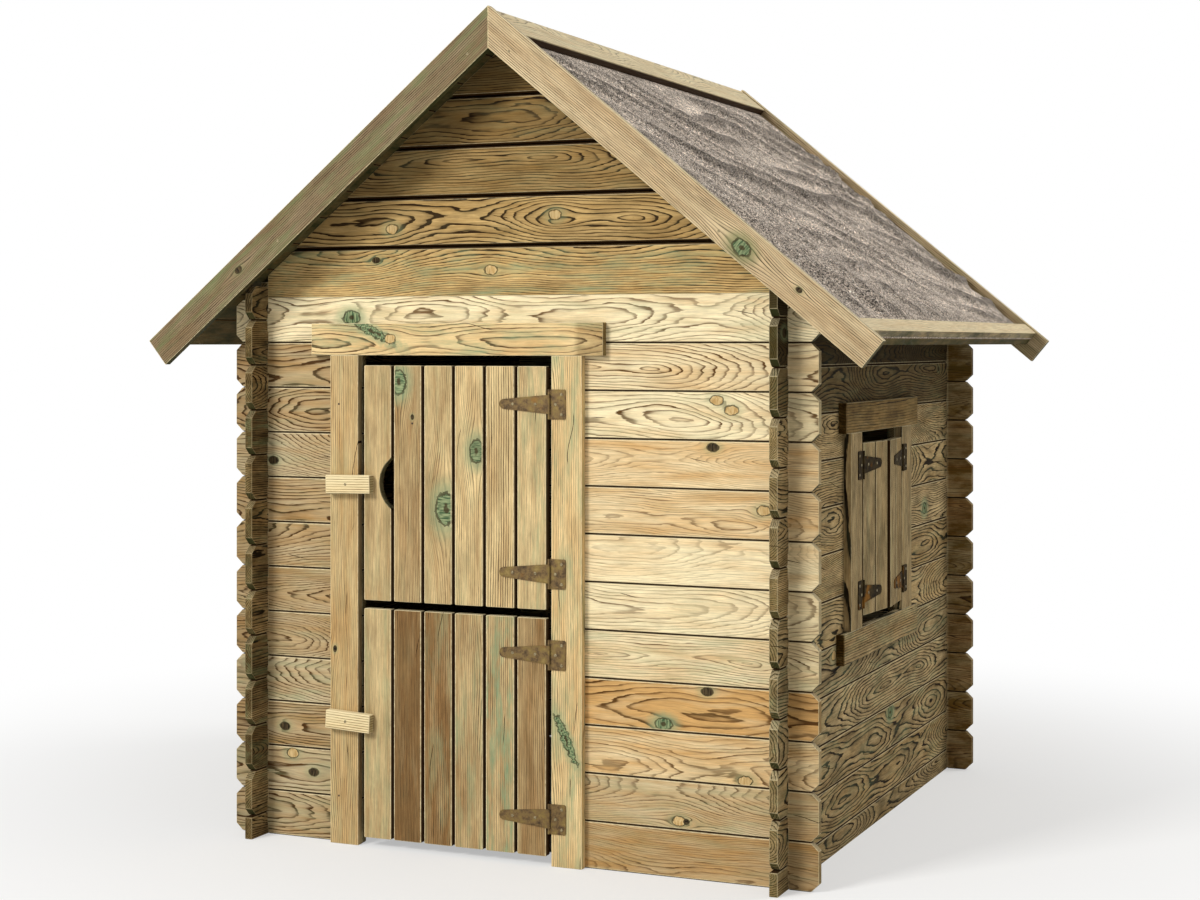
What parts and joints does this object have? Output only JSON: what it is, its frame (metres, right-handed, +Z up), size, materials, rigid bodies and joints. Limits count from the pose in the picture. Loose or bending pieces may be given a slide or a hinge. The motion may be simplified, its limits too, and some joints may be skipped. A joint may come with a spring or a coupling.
{
  "type": "wooden garden house",
  "caption": "Small log-board garden house with a gabled felt roof, a stable door in two leaves on T-hinges and a shuttered side window.",
  "frame": {"origin": "on the ground under the middle of the roof", "axes": "+Z up, the door faces -Y, +X to the right seen from the front"},
  "size_m": [1.6944, 1.6, 1.802],
  "materials": {
    "log_pine": "matte",
    "weathered_pine": "matte",
    "door_pine": "matte",
    "barge_pine": "matte",
    "new_pine": "matte",
    "deck_pine": "matte",
    "roof_felt": "matte",
    "hinge_steel": "satin"
  },
  "bodies": {
    "house": {"front_wall_left": "log_pine", "front_wall_right": "log_pine", "front_wall_over_door": "log_pine", "front_gable": "log_pine", "back_wall": "log_pine", "back_gable": "log_pine", "left_wall": "weathered_pine", "right_wall_below_window": "weathered_pine", "right_wall_before_window": "weathered_pine", "right_wall_behind_window": "weathered_pine", "right_wall_over_window": "weathered_pine", "door_jamb_left": "door_pine", "door_jamb_right": "door_pine", "door_lintel": "door_pine", "door_hinge_plates": "hinge_steel", "window_header": "weathered_pine", "window_sill_board": "weathered_pine", "window_jamb_front": "weathered_pine", "window_jamb_rear": "weathered_pine", "shutter_front": "weathered_pine", "shutter_rear": "weathered_pine", "shutter_straps": "hinge_steel", "shutter_hinge_plates": "hinge_steel", "roof_deck_left": "deck_pine", "roof_deck_right": "deck_pine", "roof_felt_left": "roof_felt", "roof_felt_right": "roof_felt", "ridge_board_left": "log_pine", "ridge_board_right": "log_pine", "eave_batten_left": "log_pine", "eave_batten_right": "log_pine", "barge_front_left": "barge_pine", "barge_front_right": "barge_pine", "barge_rear_left": "barge_pine", "barge_rear_right": "barge_pine"},
    "upper_leaf": {"upper_door_pull_board": "door_pine", "upper_door_boards": "door_pine", "upper_door_ledges": "door_pine", "upper_door_straps": "hinge_steel", "upper_turn_button": "new_pine"},
    "lower_leaf": {"lower_door_boards": "door_pine", "lower_door_ledges": "door_pine", "lower_door_straps": "hinge_steel", "lower_turn_button": "new_pine"}
  },
  "joints": [
    {"name": "upper_door_swing", "type": "hinge", "parent": "house", "child": "upper_leaf", "pos_m": [0.101, -0.716, 0.794], "axis": [0, 0, 1], "range_deg": [0, 160]},
    {"name": "lower_door_swing", "type": "hinge", "parent": "house", "child": "lower_leaf", "pos_m": [0.101, -0.716, 0.27], "axis": [0, 0, 1], "range_deg": [0, 160]}
  ]
}
